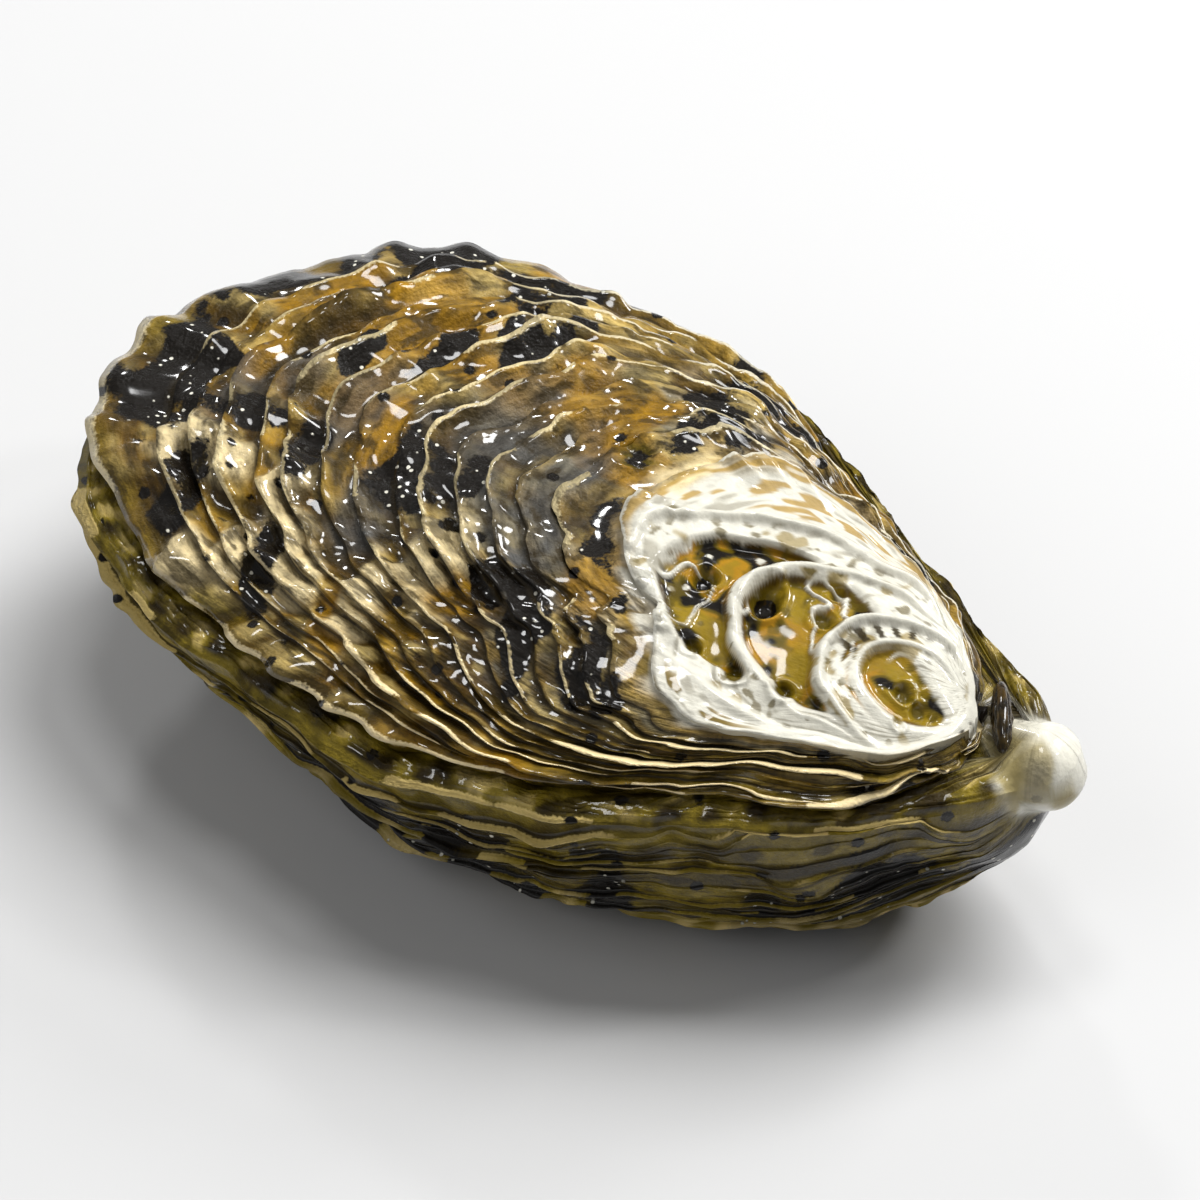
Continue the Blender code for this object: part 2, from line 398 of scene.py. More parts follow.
# Rows of the lower valve's shelf, in shelf breadths from its edge, and how far in they may reach
SHELF_ROWS = (0.1, 0.25, 0.4, 0.6, 0.8, 1.0, 1.2, 1.5, 1.8, 2.2, 2.8, 3.6, 4.6)
SHELF_REACH = 0.35
# The first row and the least gap between neighbouring rows, as shares of the way out from the umbo
FIRST_ROW = 0.002
ROW_GAP = 2e-5
NUDGE = 2e-3
TINY = 1e-9
# What the tables of a valve's rows say of each row
ROW_FACTS = ("age", "share", "rise", "lean", "number", "strength", "flank_strength", "main")
# Seeds of each valve's relief and of its growth lines
UPPER_SEEDS = (100, 5)
LOWER_SEEDS = (200, 7)
# Large factors that scramble whole numbers, and the bits that are kept
HASH_FACTORS = (374761393, 668265263, 974634777, 144269504, 1274126177)
MASK = 0xFFFFFFFF


def hashed(cells, seed):
    """Numbers from 0 to 1 that look random, for cells (..., 3) of space and a seed."""
    a, b, c, d, e = HASH_FACTORS
    h = (cells[..., 0] * a + cells[..., 1] * b + cells[..., 2] * c + seed * d) & MASK
    h = ((h ^ (h >> 13)) * e) & MASK
    return ((h ^ (h >> 16)) & MASK) / MASK


def noise(points, wavelength, seed):
    """Smooth noise from -1 to 1 at points (..., 3), its bumps about a wavelength apart, in millimetres."""
    p = points / (wavelength * MM)
    cells = np.floor(p).astype(np.int64)
    f = p - cells
    f = f * f * (3 - 2 * f)
    total = 0.0
    for corner in np.ndindex(2, 2, 2):
        total = total + np.where(corner, f, 1 - f).prod(-1) * hashed(cells + corner, seed)
    return 2 * total - 1


def layered(points, wavelength, seed, layers=3):
    """Noise with finer and weaker layers on top."""
    total = 0.0
    for layer in range(layers):
        total = total + noise(points, wavelength / 2.1**layer, seed + layer) * 0.5**layer
    return total


def smooth(x, low, high):
    """0 below low, 1 above high, smooth between."""
    x = np.clip((x - low) / (high - low), 0, 1)
    return x * x * (3 - 2 * x)


def within(x, rise, fall):
    """1 between two edges and 0 outside; each edge is the span over which it rises or falls."""
    return smooth(x, *rise) * (1 - smooth(x, *fall))


def unit(vectors):
    return vectors / np.maximum(np.linalg.norm(vectors, axis=-1, keepdims=True), TINY)


def with_zero(points):
    """Points of a plane as points in space."""
    return np.concatenate([points, np.zeros((*points.shape[:-1], 1))], -1)


def lower_margin(turn):
    """Points (back, side) of the lower valve's margin; turn runs from 0 to 1 round the shell."""
    points = np.array(MARGIN)
    count = len(points)
    place = (turn % 1.0) * count
    first = np.floor(place).astype(int)
    f = (place - first)[..., None]
    a, b, c, d = (points[(first + k) % count] for k in (-1, 0, 1, 2))
    spot = 0.5 * (2 * b + (c - a) * f + (2 * a - 5 * b + 4 * c - d) * f**2 + (3 * b - a - 3 * c + d) * f**3)
    return spot * (LENGTH, WIDTH)


def upper_margin(turn):
    """The upper valve's margin: set back at the beak, and inside the lower one's by the shelf."""
    spot = lower_margin(turn)
    near_beak = np.maximum(0.0, 1.0 - spot[..., 0] / BEAK_TAPER) ** 2
    setback = (BEAK_SETBACK + HINGE_SKEW * spot[..., 1]) * near_beak
    spot = np.stack([spot[..., 0] + setback, spot[..., 1] * (1.0 + BEAK_BREADTH * near_beak)], -1)
    return spot + unit(HEART - spot) * RIM_SHELF


def seam_height(spot):
    return CUP_DEPTH + SEAM_WAVE * np.sin(2 * math.pi * spot[..., 0] / SEAM_WAVELENGTH)


def knob_height(spot):
    share = np.hypot(spot[..., 0] - KNOB_BACK, spot[..., 1]) / KNOB_RADIUS
    return KNOB_HEIGHT * np.maximum(0.0, 1.0 - share**2) ** 2


def arch(share, bulge):
    """Height along the shell, as a share of the crest's."""
    crest = bulge["crest"]
    up = (1 - np.clip(1 - share / crest, 0, 1) ** bulge["rise"][0]) ** bulge["rise"][1]
    down = (1 - np.clip((share - crest) / (1 - crest), 0, 1) ** bulge["fall"][0]) ** bulge["fall"][1]
    return np.where(share < crest, up, down)


def section(across, bulge):
    """Height across the shell, as a share of the middle's."""
    aside = np.abs((across - bulge["lean"]) / (1 - bulge["lean"] * across))
    return (1 - np.minimum(1.0, aside) ** bulge["section"][0]) ** bulge["section"][1]


class Valve:
    """The smooth form of one valve. side is 1 for the upper valve and -1 for the lower."""

    def __init__(self, side, margin, umbo, bulge, lip):
        self.side = side
        self.margin = margin
        self.umbo = umbo
        self.bulge = bulge
        self.lip = lip
        rim = margin(np.arange(RIM_SAMPLES) / RIM_SAMPLES)
        self.longest = np.linalg.norm(rim - umbo, axis=1).max()
        self.tip = rim[:, 0].min()
        self.end = rim[:, 0].max()
        turning = rim[:, 0].argmax()
        edges = (rim[: turning + 1], np.vstack([rim[turning:], rim[:1]])[::-1])
        self.edges = [(np.maximum.accumulate(edge[:, 0]), edge[:, 1]) for edge in edges]

    def stand_off(self, spot):
        """How far the smooth surface stands off the rim's level."""
        plus, minus = (np.interp(spot[..., 0], *edge) for edge in self.edges)
        across = (spot[..., 1] - (plus + minus) / 2) / np.maximum((plus - minus) / 2, TINY)
        along = np.clip((spot[..., 0] - self.tip) / (self.end - self.tip), 0, 1)
        return self.bulge["height"] * arch(along, self.bulge) * section(np.clip(across, -1, 1), self.bulge)

    def spot(self, t, turn):
        return self.umbo + (self.margin(turn) - self.umbo) * t[..., None]

    def base(self, t, turn):
        """Points of the smooth outer surface."""
        spot = self.spot(t, turn)
        z = seam_height(spot) + self.side * (SEAM_GAP / 2 + self.lip + self.stand_off(spot))
        return np.stack([-spot[..., 0], spot[..., 1], z], -1)

    def directions(self, t, turn):
        """Two unit vectors at points of the smooth surface: along its growth, and off it."""
        inner = np.clip(t, NUDGE, 1 - 2 * NUDGE)
        along = self.base(inner + NUDGE, turn) - self.base(inner, turn)
        around = self.base(inner, turn + NUDGE / 4) - self.base(inner, turn - NUDGE / 4)
        return unit(along), unit(np.cross(along, around) * self.side)


def even_turns(valve):
    """Turns that lie evenly along the margin, so that the columns are equally wide there, and its length."""
    turns = np.arange(RIM_SAMPLES + 1) / RIM_SAMPLES
    rim = valve.margin(turns)
    arc = np.concatenate([[0], np.cumsum(np.linalg.norm(np.diff(rim, axis=0), axis=1))])
    return np.interp(np.arange(COLUMNS) / COLUMNS * arc[-1], arc, turns), arc[-1]


def growth_lines(main_lines, low, seed):
    """The main and weaker growth lines: place, strength, flank strength, and 1 for a main one."""
    draw = np.random.default_rng(seed)
    lines = []
    for high, strength, flank_strength, count in main_lines:
        gap = (high - low) / (count + 1)
        for k in range(count):
            place = low + gap * (k + 1 + draw.uniform(-0.2, 0.2))
            lines.append((place, draw.uniform(0.4, 0.8), 0.0, 0.0))
        lines.append((high, strength, flank_strength, 1.0))
        low = high
    return lines


def lamella_rows(main_lines, low, seed, profile):
    """The rows of the lamellae that end at the growth lines, each with its ROW_FACTS."""
    rows = []
    for number, (high, *strengths) in enumerate(growth_lines(main_lines, low, seed)):
        for share, rise, lean in profile:
            rows.append((low + (high - low) * share, share, rise, lean, number, *strengths))
        low = high
    return rows


def young_rows():
    """The rows of the young shell: evenly spaced and smooth, up to its one thick lip."""
    rows = []
    for age in np.arange(YOUNG_ROW / 2, YOUNG_AGE - YOUNG_LIP_GAP, YOUNG_ROW):
        rise = float(smooth(age, YOUNG_AGE - YOUNG_RISE, YOUNG_AGE))
        rows.append((age, 0.5, rise, 0.0, 0, *YOUNG_STRENGTHS, 1.0))
    for rise, lean in YOUNG_LIP_ROWS:
        rows.append((YOUNG_AGE, 1.0, rise, lean, 0, *YOUNG_STRENGTHS, 1.0))
    return rows


def upper_reach(place, turn):
    """How far out a growth line of the upper valve runs, from 0 to 1."""
    crowd = FLANK_CROWD * within(turn, *NEAR_FLANK)
    return place * (1 + crowd) / (1 + crowd * place)


def lower_reach(place, turn):
    return 1 - (1 - place) ** WALL_CROWD


class Grid:
    """Rows and columns over one valve's outer face: the rows follow its growth lines."""

    def __init__(self, valve, rows, reach, seed):
        self.valve = valve
        self.seed = seed
        self.shape = (len(rows), COLUMNS)
        for name, values in zip(ROW_FACTS, np.array(rows).T):
            setattr(self, name, np.broadcast_to(values[:, None], self.shape))
        turn, self.girth = even_turns(valve)
        self.turn = np.broadcast_to(turn, self.shape)
        self.flank = within(self.turn, *NEAR_FLANK)
        self.rim = valve.margin(turn)
        self.ray = np.linalg.norm(self.rim - valve.umbo, axis=1)
        t = reach(self.age, self.turn) + self.wander() / (self.ray + CUP_DEPTH * (valve.side < 0))
        gaps = ROW_GAP * np.arange(len(rows))[:, None]
        t = np.maximum.accumulate(np.maximum(t, FIRST_ROW) - gaps, axis=0) + gaps
        self.t = t / np.maximum(t[-1], 1.0)
        self.spot = valve.spot(self.t, self.turn)
        self.flat = with_zero(self.spot)
        self.smooth_points = valve.base(self.t, self.turn)

    def noise(self, wavelength, seed):
        """Plain noise over the shell in plan."""
        return noise(self.flat, wavelength, seed)

    def ring_points(self, stretch, third):
        """Points that go round with the margin, with a third value that changes along the shell."""
        ring = np.zeros((*self.shape, 3))
        ring[..., :2] = self.rim / stretch
        ring[..., 2] = third
        return ring

    def rim_noise(self, wavelength, seed, slide=0.0):
        """Noise round the margin, which slides on with each lamella so that neighbours differ."""
        return noise(self.ring_points(1.0, self.number * (slide * MM)), wavelength, self.seed + seed)

    def band_noise(self, wavelength, seed, stretch=3.0):
        """Noise drawn out along the growth lines."""
        return noise(self.ring_points(stretch, self.age * FLOW_LENGTH * 2), wavelength, self.seed + seed)

    def waves(self, table):
        """The sum of a table's waves, in metres."""
        return sum(high * MM * self.rim_noise(length, seed, slide) for high, length, slide, seed in table)

    def wander(self):
        """How far the growth lines stray along the shell, in metres."""
        stray = self.waves(LINE_WAVES) + self.waves(FLANK_WAVES) * self.flank
        return stray * within(self.age, WANDER_SPAN, NEAR_MARGIN)

    def margin_waves(self):
        """The margin's own waves, in metres outwards in plan."""
        return (self.waves(MARGIN_WAVES) - MARGIN_INSET) * smooth(self.t, 0.75, 1.0) * self.past_beak()

    def boldness(self):
        """How boldly each lamella stands out, from 0 up: weak ones come and go, and main ones only fade."""
        flank = self.flank * (self.valve.side > 0)
        strength = self.strength + (self.flank_strength - self.strength) * flank
        weak = smooth(self.ray, *WEAK_LINES) * smooth(self.rim_noise(22, 6, 13), -0.35, 0.25)
        main = np.maximum(0.3 + 0.7 * smooth(self.rim_noise(15, 11, 9), -0.4, 0.1), flank)
        uneven = smooth(self.age, 0.3, 0.45)
        bold = np.clip(0.9 + 0.6 * uneven * self.rim_noise(8, 7, 8), 0.25, 1.5)
        frills = 0.25 * self.rim_noise(1.9, 8, 3) + 0.4 * flank * self.rim_noise(3.6, 10, 0.4)
        shown = np.where(self.main > 0, main, weak)
        return bold * (1 + uneven * frills) * strength * shown * self.past_beak()

    def past_beak(self):
        """0 at the smooth tip of the lower beak, and 1 past it and on the whole upper valve."""
        return smooth(self.spot[..., 0], *BEAK_LINES) if self.valve.side < 0 else 1.0


def pit_depths(grid):
    """The upper valve's pits and their raised rims, in millimetres."""
    pits = np.zeros(grid.shape)
    rims = np.zeros(grid.shape)
    warp = 1 + 0.35 * grid.noise(1.7, 47)
    for back, side, radius, depth in PITS:
        away = np.hypot(grid.spot[..., 0] - back * MM, grid.spot[..., 1] - side * MM) / (radius * MM) * warp
        pits = np.maximum(pits, depth * (1 - smooth(away, 0.35, 1.1)))
        rims = np.maximum(rims, depth * np.exp(-(((away - 1.25) / 0.25) ** 2)))
    return pits, rims * (1 - smooth(pits, 0.0, 0.3))


def beyond_oval(grid, back, side, half_length, half_width):
    """How far outside an oval each point lies, in millimetres, with ragged edges; less than 0 inside."""
    x = grid.spot[..., 0] / MM - back
    y = grid.spot[..., 1] / MM - side
    share = np.maximum(np.hypot(x / half_length, y / half_width), TINY)
    ragged = sum(height * grid.noise(wavelength, seed) for height, wavelength, seed in OVAL_WAVES)
    return np.hypot(x, y) * (1 - 1 / share) + ragged


def trough_webs(grid):
    """Thin webs that cross the troughs here and there."""
    veins = np.abs(grid.noise(3.2, 54) + 0.3 * grid.noise(1.3, 55))
    return (1 - smooth(veins, 0.02, 0.1)) * smooth(grid.noise(4.5, 59), -0.25, 0.15)


def ring_stripes(grid):
    """Dark stripes across the band between the two innermost rings."""
    x = grid.spot[..., 0] / MM - YOUNG_RINGS[0][0]
    y = grid.spot[..., 1] / MM - YOUNG_RINGS[0][1]
    inner, outer = (beyond_oval(grid, *ring[:4]) for ring in YOUNG_RINGS[:2])
    stripes = smooth(np.sin(np.arctan2(y, x) * YOUNG_STRIPES + grid.noise(3, 56)), 0.1, 0.5)
    between = smooth(inner, 0.2, 0.6) * smooth(-outer, 0.3, 0.7)
    return stripes * between * smooth(grid.noise(5, 57) + 0.15 * y, -0.1, 0.2)


def young_rings(grid):
    """The nested rings near the beak with the troughs between them, in millimetres, and what lies where."""
    ridges, heights, troughs, depths = np.zeros((4, *grid.shape))
    aside = grid.spot[..., 1] / MM - TROUGH_SLANT * (grid.spot[..., 0] / MM - TROUGH_END)
    opening = 1 - smooth(aside, *TROUGH_FADE)
    uneven = 0.7 + 0.5 * grid.noise(5, 58)
    gap = np.ones(grid.shape)
    for *oval, height, thickness, band, depth in YOUNG_RINGS:
        beyond = beyond_oval(grid, *oval)
        ridge = np.exp(-((beyond / thickness) ** 2))
        slope = 0.75 * np.exp(-((beyond / (5 * thickness)) ** 2)) + 0.25 * ridge
        terrace = np.where(beyond > 0, slope, ridge)
        white = band * (0.5 + uneven)
        trough = smooth(-beyond, white, white + 1.0) * gap * opening
        ridges = np.maximum(ridges, ridge)
        heights = np.maximum(heights, terrace * height * uneven)
        troughs = np.maximum(troughs, trough)
        depths = np.maximum(depths, trough * depth)
        gap = smooth(beyond, 0.3, 1.1)
    webs = trough_webs(grid) * troughs
    facts = {"ridges": ridges, "troughs": troughs, "webs": webs, "stripes": ring_stripes(grid)}
    return heights - depths * (1 - WEB_FILL * webs), facts


def upper_lumps(grid, old):
    """Lumps, creases and wrinkles of the upper valve, in millimetres."""
    frills = layered(grid.ring_points(1.0, grid.t * FLOW_LENGTH * 2), 3.4, 35, 2)
    wrinkles = grid.band_noise(1.5, 116, 4.0)
    creases = 0.3 - np.abs(grid.noise(4.6, 39)) - 0.3 * np.abs(grid.noise(2.2, 40))
    lumps = 0.5 * layered(grid.flat, 8, 31, 2) + (0.06 + 0.14 * old) * layered(grid.flat, 2.4, 37, 2)
    return lumps + old * (0.12 * frills + 0.13 * wrinkles - 0.5 * creases)


def far_folds(grid):
    """Radial folds of the far end, from -1 to 1, weaker on its far side."""
    phase = 2 * math.pi * FAR_FOLDS * np.arange(COLUMNS) / COLUMNS + 1.4 * grid.rim_noise(15, 41)
    weaker = 1 - 0.7 * smooth(grid.spot[..., 1], 4 * MM, 16 * MM)
    uneven = (0.45 + 0.55 * grid.rim_noise(12, 43, 6)) * weaker
    return np.sin(phase) * smooth(grid.spot[..., 0], *FAR_END) * smooth(grid.t, 0.55, 0.9) * uneven


def upper_relief(grid):
    """Lumps, folds, rings and pits of the upper valve: how far its surface stands off, in metres."""
    old = smooth(grid.age, *OLD_RELIEF)
    lumps = upper_lumps(grid, old)
    folds = far_folds(grid)
    pits, rims = pit_depths(grid)
    rings, facts = young_rings(grid)
    dip = OLD_DIP * old * (1 - smooth(grid.t, *NEAR_MARGIN))
    bulges = BULGE * old * patch(grid, CREAM_PATCHES) * (0.4 + smooth(grid.share, 0.0, 0.5))
    height = (lumps - dip + rings * (1 - old) + PIT_RIM * rims - pits) * MM + FAR_FOLD_HEIGHT * folds + bulges
    return height, {**facts, "folds": folds, "pits": pits, "level": 2.2 * lumps + 1.1 * folds}


def lower_relief(grid):
    """Lumps of the lower valve, in metres."""
    lumps = 0.6 * layered(grid.smooth_points, 9, 61) + 0.25 * layered(grid.smooth_points, 2.8, 67, 2)
    return lumps * MM * smooth(grid.t, 0.0, 0.2), {"folds": np.zeros(grid.shape), "level": 2 * lumps}


def grow(grid, step, relief):
    """The outer face in full relief: its points, and what each one is, for its colour."""
    valve = grid.valve
    along, off = valve.directions(grid.t, grid.turn)
    height, facts = relief(grid)
    bold = grid.boldness() * (1 + 0.25 * facts["folds"])
    size = bold * np.sqrt(grid.ray / valve.longest)
    old = smooth(grid.age, YOUNG_AGE, YOUNG_AGE + 0.02) * (valve.side > 0)
    sink = SINK * (1 - smooth(grid.t, *NEAR_MARGIN)) * old
    points = grid.smooth_points + off * (step * size * (grid.rise - sink) + height)[..., None]
    points = points + along * (MM * size * grid.lean)[..., None]
    outward = unit(grid.rim - valve.umbo) * grid.margin_waves()[..., None]
    points[..., 0] -= outward[..., 0]
    points[..., 1] += outward[..., 1]
    points[..., 2] = np.maximum(points[..., 2], 0.0)
    return points, {**facts, "bold": bold}


def blend(colours, other, share):
    return colours + (np.asarray(other) - colours) * np.clip(share, 0, 1)[..., None]


def covered(colours, layers):
    """The colours with each layer laid over them in turn: a colour, and how much of it lies on each point."""
    for colour, share in layers:
        colours = blend(colours, colour, share)
    return colours


def one_colour(grid, colour):
    return np.broadcast_to(colour, (*grid.shape, 3))


def patch(grid, places):
    """1 within the named patches and 0 outside, with ragged edges."""
    found = np.zeros(grid.shape)
    warp = 1 + 0.4 * layered(grid.flat, 3, 83, 2)
    umbo = grid.valve.umbo / MM
    for back, side, across, along in places:
        outward = unit(np.array((back, side)) - umbo)
        gap = grid.spot / MM - (back, side)
        away = np.hypot((gap @ outward) / across, (gap @ (-outward[1], outward[0])) / along) * warp
        found = np.maximum(found, 1 - smooth(away, 0.6, 1.3))
    return found


def upper_masks(grid):
    """Where the upper valve's colours lie: 1 inside and 0 outside; and its age with ragged edges."""
    age = grid.age + 0.035 * grid.noise(9, 91) + 0.015 * grid.noise(3, 92)
    old = smooth(age, *OLD_PAINT)
    far_side = within(grid.turn, *FAR_SIDE) * old
    scattered_ochre = 0.8 * smooth(grid.noise(6, 95), 0.35, 0.6) * old
    return SimpleNamespace(
        age=age,
        old=old,
        young=1 - old,
        far_side=far_side,
        pale=far_side * (1 - smooth(age, 0.55, 0.75)),
        green_side=within(grid.turn, *GREEN_SIDE) * smooth(grid.age, 0.45, 0.6),
        brown_side=within(grid.turn, *BROWN_SIDE) * smooth(grid.age, 0.5, 0.65),
        ochre=np.maximum(patch(grid, OCHRE_PATCHES), scattered_ochre),
        slate_and_sheen=patch(grid, SLATE_AND_SHEEN_PATCHES),
        cream=patch(grid, CREAM_PATCHES),
    )


def old_colours(grid, masks, level):
    """The old shell: coloured by age and side, then broken up by bands, marbling, relief and patches, with
    painted shade in its low places and under the lips.
    """
    ages, stops = zip(*AGE_COLOURS)
    by_age = np.stack([np.interp(masks.age, ages, channel) for channel in np.array(stops).T], -1)
    old = masks.old
    bands = grid.rim_noise(7, 93, 11)
    fine_bands = grid.rim_noise(2.6, 94, 5)
    marbling = grid.band_noise(1.5, 101, 2.0) + 0.4 * grid.noise(2.2, 102)
    share = grid.share + 0.3 * grid.band_noise(2.5, 106, 2.0)
    layers = (
        (SAND, 0.75 * masks.far_side),
        (PEARL, 0.7 * masks.pale * smooth(grid.band_noise(2.2, 109), -0.25, 0.15)),
        (UMBER, 0.7 * masks.brown_side * smooth(grid.band_noise(3, 110, 2.0), -0.3, 0.1)),
        (PALE_OLIVE, 0.85 * masks.green_side),
        (UMBER, 0.9 * smooth(-bands, -0.1, 0.4) * old),
        (SAND, 0.6 * smooth(bands + 0.4 * fine_bands, 0.25, 0.6) * old),
        (OLIVE, 0.9 * smooth(-fine_bands, 0.0, 0.45) * masks.green_side),
        (BARK, 0.75 * smooth(-marbling, 0.1, 0.4) * old),
        (CREAM, 0.35 * smooth(marbling, 0.3, 0.55) * old),
        # Painted shade in the low places of the relief, and paler colour on the high places
        (BARK, 0.8 * smooth(-level, 0.1, 0.9) * old),
        (CREAM, 0.5 * smooth(level, 0.5, 1.3) * old),
        # Painted shade: darker at the start of each lamella, in the recess under the lip before
        (BARK, (0.7 - 0.4 * masks.pale) * (1 - smooth(share, 0.05, 0.5)) * old),
        (SAND, 0.3 * smooth(share, 0.6, 1.0) * old),
        (OCHRE, 0.85 * masks.ochre),
        # Grey patches, partly the shell's grey and partly painted sheen
        (SLATE, 0.9 * masks.slate_and_sheen * (0.75 + 0.5 * grid.band_noise(2, 111, 2.0))),
        (IVORY, 0.95 * masks.cream),
    )
    return covered(by_age, layers)


def trough_colours(grid, blots):
    """The floors of the troughs: amber and ochre, with olive and black blots."""
    layers = (
        (OCHRE, smooth(grid.noise(4, 115), -0.1, 0.3)),
        (OLIVE, smooth(-blots, -0.1, 0.2)),
        (SOOT, smooth(-blots, 0.25, 0.45)),
    )
    return covered(one_colour(grid, AMBER), layers)


def young_layers(grid, masks, facts):
    """The young shell: streaks outside its rings, stained troughs with painted shade on their walls, flecks,
    stripes, white ridges and webs.
    """
    young = masks.young
    beyond = beyond_oval(grid, *YOUNG_RINGS[-1][:4])
    outside = smooth(beyond, 0.3, 1.5) * young
    near_rings = (1 - smooth(beyond, -1.2, 0.3)) * young
    near_side = smooth(-grid.spot[..., 1], 6 * MM, 10 * MM) * outside
    blots = grid.noise(2.1, 96) + 0.5 * grid.noise(0.9, 98)
    flecks = grid.noise(1.1, 107) + 0.5 * grid.noise(0.6, 108)
    streaks = grid.band_noise(0.9, 100, 7.0)
    stain = facts["troughs"] * (1 - facts["webs"]) * smooth(blots, -1.2, -0.9) * young
    # Painted shade: umber on the walls at the edges of the stained troughs
    trough_wall_shade = within(stain, (0.2, 0.5), (0.7, 0.98)) * smooth(grid.noise(4, 112), -0.3, 0.1)
    return (
        (SAND, 0.85 * outside * smooth(streaks, 0.12, 0.3)),
        (STONE, 0.5 * young * smooth(-streaks, 0.25, 0.6)),
        (trough_colours(grid, blots), smooth(stain, 0.3, 0.6)),
        (UMBER, 0.85 * trough_wall_shade),
        (AMBER, 0.7 * near_rings * smooth(blots, 0.4, 0.6)),
        (OLIVE, 0.75 * near_rings * smooth(flecks, 0.62, 0.78)),
        (OLIVE, 0.8 * near_side * smooth(streaks, 0.0, 0.25)),
        (OLIVE, smooth(facts["pits"], 0.15, 0.5)),
        (BARK, 0.95 * facts["stripes"] * young),
        (PEARL, 0.9 * smooth(facts["ridges"], 0.3, 0.7) * young),
        (PEARL, 0.9 * facts["webs"] * young),
    )


def upper_soot(grid, masks, pits):
    """How sooty the upper valve is: patches, clouds between them, and the pits."""
    clouds = layered(grid.smooth_points, 11, 97) - 0.9 * masks.cream - 0.4 * (masks.ochre + masks.green_side)
    soot = np.maximum(patch(grid, SOOT_PATCHES), smooth(clouds, 0.22, 0.55)) * masks.old
    ragged = 0.4 * grid.noise(2.4, 113) + 0.3 * grid.noise(1.0, 114)
    ragged = ragged + 0.4 * grid.band_noise(1.8, 103, 2.0) - 0.3 * smooth(grid.share, 0.3, 0.95)
    return np.maximum(soot * (1.15 + ragged), smooth(pits, 0.55, 1.0))


def paint_upper(grid, facts):
    """Colours of the upper valve and its lips, and how sooty it is."""
    masks = upper_masks(grid)
    colours = covered(old_colours(grid, masks, facts["level"]), young_layers(grid, masks, facts))
    lip_layers = (
        (CREAM, 0.7 * masks.old * (1 - 0.6 * masks.far_side)),
        (IVORY, np.maximum(masks.green_side, masks.brown_side)),
        (STONE, 0.5 * masks.slate_and_sheen),
    )
    return colours, covered(one_colour(grid, PEARL), lip_layers), upper_soot(grid, masks, facts["pits"])


def paint_lower(grid, facts):
    """The same for the lower valve."""
    bands = grid.rim_noise(8, 93, 9)
    fine_bands = grid.rim_noise(2.6, 94, 5)
    layers = (
        (BARK, 0.85 * smooth(-bands, -0.1, 0.4)),
        (PALE_OLIVE, 0.8 * smooth(fine_bands + bands, 0.0, 0.6)),
        # Painted shade in the low places of the relief
        (BARK, 0.8 * smooth(-facts["level"], 0.0, 0.9)),
        (PALE_OLIVE, 0.8 * smooth(grid.t, 0.985, 1.0)),
    )
    lip_layers = (
        (CREAM, smooth(fine_bands, -0.1, 0.5)),
        (CREAM, smooth(grid.t, 0.96, 1.0)),
    )
    soot = smooth(layered(grid.smooth_points, 12, 97), 0.05, 0.45) * (1 - smooth(grid.t, 0.97, 0.99))
    return covered(one_colour(grid, OLIVE), layers), covered(one_colour(grid, PALE_OLIVE), lip_layers), soot


def outer_attributes(grid, facts, painted):
    """What the shell material reads at each point."""
    colours, lip_colours, soot = painted
    bold = facts["bold"]
    thick = 0.1 + 0.22 * smooth(bold, 1.0, 2.0)
    low = 0.84 - thick * grid.flank * (grid.valve.side > 0)
    broken = 1 - 0.8 * smooth(grid.rim_noise(5, 12, 5), 0.05, 0.3) * smooth(grid.age, 0.4, 0.45)
    return {
        "paint": colours,
        "lip_paint": lip_colours,
        "lip": smooth(grid.share, low, low + 0.14) * smooth(bold, 0.12, 0.45) * broken,
        "soot": soot,
        "old": smooth(grid.age, *OLD_GRAIN),
        "combed": smooth(grid.ray, 10 * MM, 45 * MM) * smooth(grid.age, *OLD_GRAIN),
        # Painted shade in the recess just after each lip, under the overhang of the lip before
        "under_lip_shade": (1 - smooth(grid.share, 0.0, 0.3)) * smooth(bold, 0.1, 0.5) * smooth(grid.age, 0.35, 0.42),
        "flow": np.stack([grid.turn * grid.girth, grid.t * FLOW_LENGTH, grid.number * MM], -1),
    }


def seam_rows(valve, edge, shares, height):
    """Rows from the valve's edge inwards along the seam."""
    rows = []
    for share in shares:
        spot = valve.umbo + (edge - valve.umbo) * np.reshape(share, (-1, 1))
        rows.append(np.stack([-spot[:, 0], spot[:, 1], height(spot, share)], -1))
    return np.array(rows)


def round_knob(rows):
    """Rounds the tip of the lower beak into its knob; also how far each point belongs to the knob, 0 to 1."""
    back, side, depth = KNOB_MIDDLE
    middle = np.array((-back * MM, side * MM, CUP_DEPTH - depth * MM))
    gap = rows - middle
    away = np.maximum(np.linalg.norm(gap, axis=-1, keepdims=True), TINY) / KNOB_BALL
    uneven = noise(rows, 3, 75)[..., None]
    fading = 1 - smooth(-rows[..., :1], (back - 1) * MM, (back + 6) * MM)
    fading = fading * (1 - smooth(away, 1.3, 2.2))
    rounded = 1 + ((1 + 0.07 * uneven) / away - 1) * fading
    crease = 0.025 * np.exp(-(((away * rounded - 1.3 + 0.1 * uneven) / 0.07) ** 2))
    part = 1 - smooth(away * rounded + 0.3 * uneven, 1.05, 1.5)
    return middle + gap * (rounded - crease), part[..., 0]


def joined(outer, rows, colour):
    """The outer face's attributes, then those along the seam: a plain colour, the rest as at the edge."""
    seam = {name: np.repeat(values[-1:], len(rows), axis=0) for name, values in outer.items()}
    seam["paint"] = np.broadcast_to(colour, rows.shape)
    for name in ("lip", "soot", "under_lip_shade"):
        seam[name] = np.zeros(rows.shape[:2])
    return {name: np.concatenate([outer[name], seam[name]]) for name in outer}


